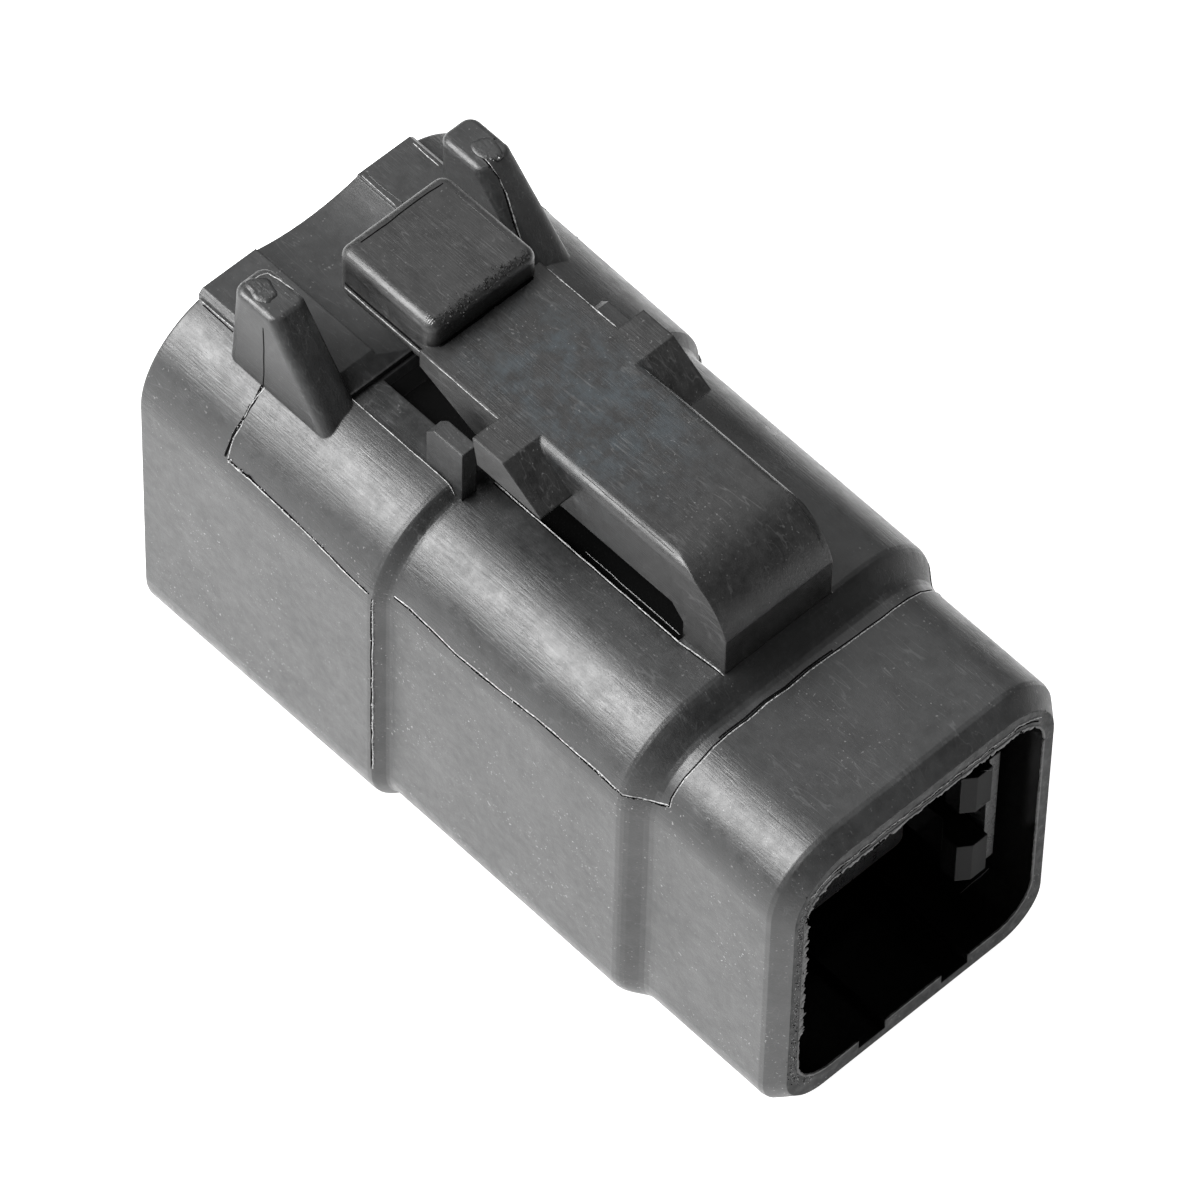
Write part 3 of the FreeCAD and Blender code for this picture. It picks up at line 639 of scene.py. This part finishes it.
def seam(shape, track, rng, groove=GROOVE, left=0.0, right=0.0, sway=0.03):
    """A parting line: a groove painted dark as shade, with a ridge of pale flash, partly painted
    highlight, at either side where asked.
    """
    sweep(shape, track, groove, rng, PAINTED_SHADE_SLOT, sway=sway, rough=0.2)
    for share, side in ((left, -1), (right, 1)):
        if share:
            section = [(out, high * share if high > 0 else high) for out, high in RIDGE]
            sweep(shape, track, section, rng, FLASH_HIGHLIGHT_SLOT, aside=side * SEAM_SIDE, sway=sway,
                  rough=0.6)


def settle(name, shape, body, skin):
    """Turns a shape into a piece that rides on a body."""
    bmesh.ops.recalc_face_normals(shape, faces=shape.faces[:])
    mesh = bpy.data.meshes.new(name)
    shape.to_mesh(mesh)
    shape.free()
    for material in (skin, FLASH_AND_HIGHLIGHT, PAINTED_GROOVE_SHADE, LIP_EDGE):
        mesh.materials.append(material)
    for polygon in mesh.polygons:
        polygon.use_smooth = True
    piece = bpy.data.objects.new(name, mesh)
    scene.collection.objects.link(piece)
    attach(piece, body)


# Marks on the housing, in pixels of the photograph.
EAR_LINE = [(263, 328), (264, 350), (264, 372), (263, 386)]
EAR_CRACK = [(263, 386), (257, 395), (249, 407), (243, 419), (240, 426), (233, 436), (229, 447),
             (226, 457)]
REAR_LINE = [(228, 459), (238, 468), (250, 478), (270, 497), (290, 516), (315, 540), (345, 571),
             (369, 594)]
MID_LINE = [(394, 597), (410, 610), (432, 631), (455, 654), (480, 675), (500, 691), (535, 718),
            (580, 757), (600, 775), (616, 790)]
STEP_LINE = [(617, 791), (622, 796), (640, 799), (652, 802), (660, 805), (669, 807)]
NOSE_LINE = [(669, 807), (671, 798), (675, 791), (684, 778), (701, 760), (713, 746), (728, 733),
             (746, 720), (766, 702), (787, 688), (808, 670), (829, 655), (849, 641), (870, 626),
             (891, 610), (908, 598), (920, 592), (932, 590)]
CHANNEL_LINE = [(586, 552), (612, 575), (640, 600), (680, 635)]
HOOK_LINES = [[(980, 771), (992, 770), (1004, 769), (1004, 783), (1003, 796)],
              [(980, 806), (988, 802), (999, 800), (1000, 815), (999, 830), (995, 850),
               (988, 868)],
              [(960, 893), (975, 881), (989, 868)]]
LEFT_RIM = [(252, 281), (260, 276), (268, 273), (285, 284), (303, 296)]
RIGHT_LOOP = [(496, 138), (490, 141), (494, 145), (488, 151), (481, 156)]
RIGHT_EAR_LINE = [(482, 157), (490, 166), (498, 178), (505, 195), (510, 212), (516, 230),
                  (521, 243)]
# The saddle's pale ridges are partly painted highlight, and its groove is painted dark as shade.
SADDLE_LINES = (
    ([(199, 299), (219, 316), (237, 331)], THIN_RIDGE, FLASH_HIGHLIGHT_SLOT),
    ([(203, 305), (220, 320), (236, 335)], THIN_GROOVE, PAINTED_SHADE_SLOT),
    ([(366, 173), (384, 189), (404, 204)], RIDGE, PLASTIC_SLOT),
    ([(361, 175), (379, 191), (396, 206)], THIN_RIDGE, FLASH_HIGHLIGHT_SLOT),
    ([(413, 143), (426, 155), (439, 166)], THIN_RIDGE, FLASH_HIGHLIGHT_SLOT))


def parting_lines(name, seed, turn):
    """The parting line of one side, from the ear to the nose."""
    rng = random.Random(seed)
    shape = bmesh.new()
    ear = turn(seen("housing", EAR_LINE))
    crack = turn(seen("housing", EAR_CRACK))
    rear = turn(seen("housing", REAR_LINE))
    mid = turn(seen("housing", MID_LINE))
    step = turn(seen("housing", STEP_LINE))
    # Each seam's groove is painted dark as shade, and its pale flash is partly whitened flash and
    # partly painted highlight; the dark crumbs below are painted shade.
    seam(shape, ear, rng, THIN_GROOVE, sway=0.02)
    seam(shape, crack, rng, WIDE_GROOVE, left=0.4, sway=0.07)
    seam(shape, rear, rng, GROOVE, right=0.7, sway=0.03)
    seam(shape, mid, rng, GROOVE, left=0.6, sway=0.04)
    seam(shape, step, rng, GROOVE, left=0.6, sway=0.06)
    for track, count in ((crack, 30), (rear, 60), (mid, 110), (step, 24)):
        crumbs(shape, track, count, 0.045, 0.03, rng, PAINTED_SHADE_SLOT)
        crumbs(shape, track, count, 0.032, 0.07, rng)
    crumbs(shape, rear[:12], 14, 0.07, 0.06, rng)
    crumbs(shape, rear[4:20], 12, 0.09, 0.05, rng, PAINTED_SHADE_SLOT)
    settle(name, shape, "shell", HOUSING)


parting_lines("parting_line_left", 11, lambda track: track)
parting_lines("parting_line_right", 12, mirrored)


def nose_seam():
    """The seam round the nose, and the parting line of the right ear."""
    rng = random.Random(21)
    shape = bmesh.new()
    track = seen("housing", NOSE_LINE)
    middle = len(track) // 2
    doubled = track[middle // 2:middle + middle // 3]
    # The grooves here are painted dark as shade, and the pale flash is partly painted highlight.
    seam(shape, track, rng, THIN_GROOVE, right=0.25, sway=0.02)
    sweep(shape, doubled, GROOVE, rng, PAINTED_SHADE_SLOT, aside=-0.12, sway=0.02)
    crumbs(shape, track, 30, 0.03, 0.08, rng, PLASTIC_SLOT)
    ear = seen("housing", RIGHT_EAR_LINE)
    seam(shape, ear, rng, THIN_GROOVE, left=0.3, sway=0.05)
    crumbs(shape, ear, 18, 0.045, 0.05, rng, PAINTED_SHADE_SLOT)
    settle("nose_seam", shape, "shell", HOUSING)


nose_seam()


def housing_flash():
    """Flash along the channel, the ledge and the rim of the rear section, on both sides."""
    rng = random.Random(31)
    shape = bmesh.new()
    for side in (-1, 1):
        channel = dropped("housing", [(CHANNEL_START, side * (CHANNEL_HALF + 0.06)),
                                      (CHANNEL_END, side * (CHANNEL_HALF + 0.06)),
                                      (ROOT_END, side * (ARM_HALF + 0.06))])
        # The pale ridges are partly painted highlight, and the grooves beside them are painted
        # dark as shade.
        sweep(shape, channel, RIDGE, rng, FLASH_HIGHLIGHT_SLOT, sway=0.02, rough=0.6)
        sweep(shape, channel, THIN_GROOVE, rng, PAINTED_SHADE_SLOT, aside=0.07, sway=0.02)
        ledge = dropped("housing", [(LEDGE_START, side * (LEDGE_HALF + 0.05)),
                                    (LEDGE_END, side * (LEDGE_HALF + 0.05))])
        sweep(shape, ledge, THIN_RIDGE, rng, FLASH_HIGHLIGHT_SLOT, sway=0.015, rough=0.7)
        rim = pushed("housing", [(RIM_X, RIM_HIGH), (RIM_X, RIM_LOW)], side)
        sweep(shape, rim, HIGH_RIDGE, rng, FLASH_HIGHLIGHT_SLOT, sway=0.03, rough=0.9, every=3)
        sweep(shape, rim, THIN_GROOVE, rng, PAINTED_SHADE_SLOT, aside=0.09, sway=0.02)
        crumbs(shape, rim, 110, 0.045, 0.05, rng)
    groove_line = seen("housing", CHANNEL_LINE)
    sweep(shape, groove_line, THIN_RIDGE, rng, FLASH_HIGHLIGHT_SLOT, sway=0.02, rough=0.5)
    settle("housing_flash", shape, "shell", HOUSING)


housing_flash()


# The mouth's flash, in millimetres: how far outside the edge the lip's tracks run, how far the
# fringe reaches inwards where it is torn and where it is clean, and the height above which and the
# side up to which it is torn.
BEND_STEP = 0.2
UPPER_LIP = 0.33
LEFT_LIP = 0.35
TORN_REACH = 0.17
CLEAN_REACH = 0.04
TORN_ABOVE = 8.0
TORN_UP_TO = 8.0


def mouth_edge(outwards):
    """The edge of the mouth as (y, z) and the direction into the opening, in millimetres."""
    half = MOUTH_HALF + outwards
    low = MOUTH_LOW - outwards
    high = MOUTH_HIGH + outwards
    bend = MOUTH_ROUND + outwards
    corners = ((half - bend, high - bend, 0), (bend - half, high - bend, 90),
               (bend - half, low + bend, 180), (half - bend, low + bend, 270))
    bends = []
    for y, z, start in corners:
        count = max(4, round(bend * math.pi / 2 / BEND_STEP))
        for index in range(count + 1):
            angle = math.radians(start + 90 * index / count)
            bends.append((y + bend * math.cos(angle), z + bend * math.sin(angle),
                          -math.cos(angle), -math.sin(angle)))
    points = []
    for first, second in zip(bends, bends[1:] + bends[:1]):
        points += dense([first, second], STEP)[:-1]
    return points


def open_keyway(y, z):
    """Whether a keyway cuts through the edge of the mouth there."""
    return z < MOUTH_LOW + 0.5 and abs(abs(y) - KEYWAY_MIDDLE) < KEYWAY_HALF + 0.05


def lip_track(outwards, wanted):
    """A track on the lip's face, where wanted(y, z) holds."""
    forwards = Vector((1, 0, 0))
    return [(Vector((LIP_X, y, z)) * MM, forwards)
            for y, z, _, _ in mouth_edge(outwards) if wanted(y, z)]


def runs_of(track):
    """Splits a track wherever it jumps."""
    runs = [[]]
    for item in track:
        if runs[-1] and (item[0] - runs[-1][-1][0]).length > JUMP:
            runs.append([])
        runs[-1].append(item)
    return runs


def mouth_flash():
    """Ragged flash: a torn fringe into the mouth, and a torn line on its upper and left lip."""
    rng = random.Random(41)
    shape = bmesh.new()
    ring = [(Vector((LIP_X - 0.05, y, z)) * MM, Vector((0, inward_y, inward_z)))
            for y, z, inward_y, inward_z in mouth_edge(0.0) if not open_keyway(y, z)]
    torn_part = [item for item in ring
                 if item[0].y < TORN_UP_TO * MM and item[0].z > TORN_ABOVE * MM]
    clean_part = [item for item in ring if item not in torn_part]
    for track, reach in ((torn_part, TORN_REACH), (clean_part, CLEAN_REACH)):
        fringe = ((-0.05, -0.1), (-0.03, reach), (0.02, reach), (0.055, -0.1))
        teeth = ((-0.02, -0.1), (-0.01, reach), (0.01, reach), (0.02, -0.1))
        for run in runs_of(track):
            sweep(shape, run, fringe, rng, LIP_SLOT, rough=1.0, every=5)
            sweep(shape, run, teeth, rng, LIP_SLOT, aside=0.05, rough=1.5, every=2)
    # Dark crumbs are painted shade, and pale crumbs are partly painted highlight.
    for run in runs_of(torn_part):
        crumbs(shape, run, 60, 0.04, 0.03, rng)
        crumbs(shape, run, 50, 0.06, 0.05, rng, PAINTED_SHADE_SLOT)
    for pixels in HOOK_LINES:
        sweep(shape, seen("housing", pixels), THIN_RIDGE, rng, LIP_SLOT, sway=0.02, rough=0.4)
    # On the upper lip, a groove painted dark as shade runs beside a pale ridge that is partly
    # painted highlight.
    for run in runs_of(lip_track(UPPER_LIP, lambda y, z: z > MOUTH_HIGH - 0.6)):
        sweep(shape, run, GROOVE, rng, PAINTED_SHADE_SLOT, aside=0.1, sway=0.1, rough=0.5)
        sweep(shape, run, RIDGE, rng, FLASH_HIGHLIGHT_SLOT, aside=0.22, sway=0.08, rough=0.9, every=3)
        crumbs(shape, run, 25, 0.045, 0.06, rng, PAINTED_SHADE_SLOT)
    # On the left lip, dark crumbs are painted shade and pale ones are partly painted highlight.
    for run in runs_of(lip_track(LEFT_LIP, lambda y, z: y < -7.5)):
        crumbs(shape, run, 220, 0.035, 0.16, rng)
        crumbs(shape, run, 160, 0.035, 0.16, rng, PAINTED_SHADE_SLOT)
    settle("mouth_flash", shape, "shell", HOUSING)


mouth_flash()


# A gate mark: its mesh, and its half sizes in millimetres.
SPOKES = 30
CIRCLES = 9
MARK_LONG = 1.05
MARK_WIDE = 0.72


def mound(shape, centre, height, rng):
    """A crumpled gate mark: a low lump with a soft edge, on a level top."""
    dents = wander(SPOKES, 3, rng)
    dents[-1] = dents[0]
    rows = []
    for circle in range(1, CIRCLES + 1):
        share = circle / CIRCLES
        row = []
        for spoke in range(SPOKES):
            angle = math.tau * spoke / SPOKES
            out = share * (1 + 0.18 * dents[spoke])
            fall = math.exp(-(max(0.0, share - 0.66) / 0.18) ** 2)
            lift = height * (0.8 + 0.25 * rng.uniform(-1, 1)) * fall
            if circle == CIRCLES:
                lift = -0.06
            offset = (MARK_LONG * out * math.cos(angle), MARK_WIDE * out * math.sin(angle), lift)
            row.append(shape.verts.new(Vector([c + o for c, o in zip(centre, offset)]) * MM))
        rows.append(row)
    middle = shape.verts.new(Vector((centre[0], centre[1], centre[2] + 0.8 * height)) * MM)
    faces = []
    for spoke in range(SPOKES):
        following = (spoke + 1) % SPOKES
        faces.append(shape.faces.new((middle, rows[0][spoke], rows[0][following])))
        for inner, outer in zip(rows, rows[1:]):
            faces.append(shape.faces.new((inner[spoke], outer[spoke],
                                          outer[following], inner[following])))
    faces.append(shape.faces.new(rows[-1][::-1]))
    for face in faces:
        face.material_index = PLASTIC_SLOT


def gate_marks():
    """The nubs left on the ears."""
    rng = random.Random(51)
    shape = bmesh.new()
    # The pale flecks and the left rim's pale ridge are partly painted highlight, and the right
    # loop is a groove painted dark as shade.
    for side, forward, height in ((-1, 0.0, 0.13), (1, 1.2, 0.08)):
        x = EAR_REAR + 0.95 + forward
        y = side * (EAR_MIDDLE + 0.15)
        mound(shape, (x, y, EAR_TOP), height, rng)
        torn_edge = edge_line([(x - 0.7, y - 0.4, EAR_TOP), (x + 0.7, y - 0.4, EAR_TOP),
                               (x + 0.7, y + 0.4, EAR_TOP)], (0, 0, 1))
        crumbs(shape, torn_edge, 16, 0.07, 0.1, rng, PLASTIC_SLOT)
        crumbs(shape, torn_edge, 8, 0.05, 0.12, rng, FLASH_HIGHLIGHT_SLOT)
    for pixels, section, finish in ((LEFT_RIM, THIN_RIDGE, FLASH_HIGHLIGHT_SLOT),
                                    (RIGHT_LOOP, GROOVE, PAINTED_SHADE_SLOT)):
        sweep(shape, seen("housing", pixels), section, rng, finish, sway=0.03, rough=0.7, every=2)
    settle("gate_marks", shape, "shell", HOUSING)


gate_marks()


def saddle_lines():
    """Fine lines left by the tool on the saddle."""
    rng = random.Random(61)
    shape = bmesh.new()
    for pixels, section, finish in SADDLE_LINES:
        sweep(shape, seen("housing", pixels), section, rng, finish, sway=0.015, rough=0.4)
    settle("saddle_lines", shape, "shell", HOUSING)


saddle_lines()


def pad_side(side, outwards, up, inset, tilt):
    """A track along one side of the thumb pad."""
    y = side * (PAD_HALF + outwards)
    return edge_line([(PAD_REAR + inset, y, PAD_LOW + up), (PAD_FRONT - inset, y, PAD_LOW + up)],
                     (0, side, tilt))


def latch_flash():
    """Flash on the latch arm: along the tail, under the thumb pad and on the pad's edges."""
    rng = random.Random(71)
    shape = bmesh.new()
    for side in (-1, 1):
        # The pale ridges on the tail, on the pad's rim and at its corner are partly painted
        # highlight.
        tail = edge_line([(PAD_FRONT + 0.1, side * TAIL_HALF, ARM_TOP - 0.02),
                          (WING_START, side * TAIL_HALF, ARM_TOP - 0.02)], (0, side, 1))
        sweep(shape, tail, THIN_RIDGE, rng, FLASH_HIGHLIGHT_SLOT, sway=0.01, rough=0.6)
        under = pad_side(side, 0.0, 0.3, 0.7, 0)
        sweep(shape, under, PAD_RAIL, rng, PLASTIC_SLOT, rough=0.15)
        # A groove painted dark as shade above the rail.
        above = pad_side(side, 0.0, 0.72, 0.7, 0)
        sweep(shape, above, WIDE_GROOVE, rng, PAINTED_SHADE_SLOT, sway=0.03, rough=0.3)
        rim = pad_side(side, 0.11, 0.55, 0.8, 1)
        sweep(shape, rim, THIN_RIDGE, rng, FLASH_HIGHLIGHT_SLOT, sway=0.02, rough=0.6)
        crumbs(shape, under[:10], 8, 0.06, 0.04, rng, PAINTED_SHADE_SLOT)
    right = dropped("latch_arm", [(-1.6, ARM_HALF - 0.3), (BROW_START, ARM_HALF - 0.3),
                                  (ARM_END, ARM_HALF - 0.3)])
    sweep(shape, right, THIN_RIDGE, rng, PLASTIC_SLOT, sway=0.01, rough=0.4)
    left = dropped("latch_arm", [(1.2, -ARM_HALF + 0.32), (BROW_START, -ARM_HALF + 0.32)])
    sweep(shape, left, THIN_RIDGE, rng, PLASTIC_SLOT, sway=0.01, rough=0.4)
    # The shade under the front edge of the pad is painted: a dark groove and dark crumbs.
    foot = edge_line([(PAD_FRONT + 0.03, -PAD_HALF + 0.5, ARM_TOP + 0.02),
                      (PAD_FRONT + 0.03, PAD_HALF - 0.5, ARM_TOP + 0.02)], (1, 0, 1))
    sweep(shape, foot, CORNER_GROOVE, rng, PAINTED_SHADE_SLOT, sway=0.05, rough=0.6)
    crumbs(shape, foot, 150, 0.07, 0.07, rng, PAINTED_SHADE_SLOT)
    # A groove painted dark as shade across the back of the pad.
    back = dropped("latch_arm", [(PAD_REAR + PAD_INSET, -PAD_HALF + 1.2),
                                 (PAD_REAR + PAD_INSET, PAD_HALF - 0.7)])
    sweep(shape, back, THIN_GROOVE, rng, PAINTED_SHADE_SLOT, sway=0.05, rough=0.4)
    far = dropped("latch_arm", [(PAD_REAR + 1.6, PAD_HALF - PAD_INSET),
                                (PAD_FRONT - 1.4, PAD_HALF - PAD_INSET)])
    sweep(shape, far, THIN_RIDGE, rng, PLASTIC_SLOT, sway=0.02, rough=0.4)
    brow = dropped("latch_arm", [(PAD_FRONT - 0.35, -PAD_HALF + 0.5),
                                 (PAD_FRONT - 0.35, PAD_HALF - 0.5)])
    crumbs(shape, brow, 260, 0.05, 0.22, rng, PLASTIC_SLOT)
    corner = dropped("latch_arm", [(PAD_FRONT - 1.0, -PAD_HALF + 0.3),
                                   (PAD_FRONT - 0.3, -PAD_HALF + 0.4)])
    crumbs(shape, corner, 30, 0.045, 0.1, rng, FLASH_HIGHLIGHT_SLOT)
    settle("latch_flash", shape, "latch", LATCH)


latch_flash()
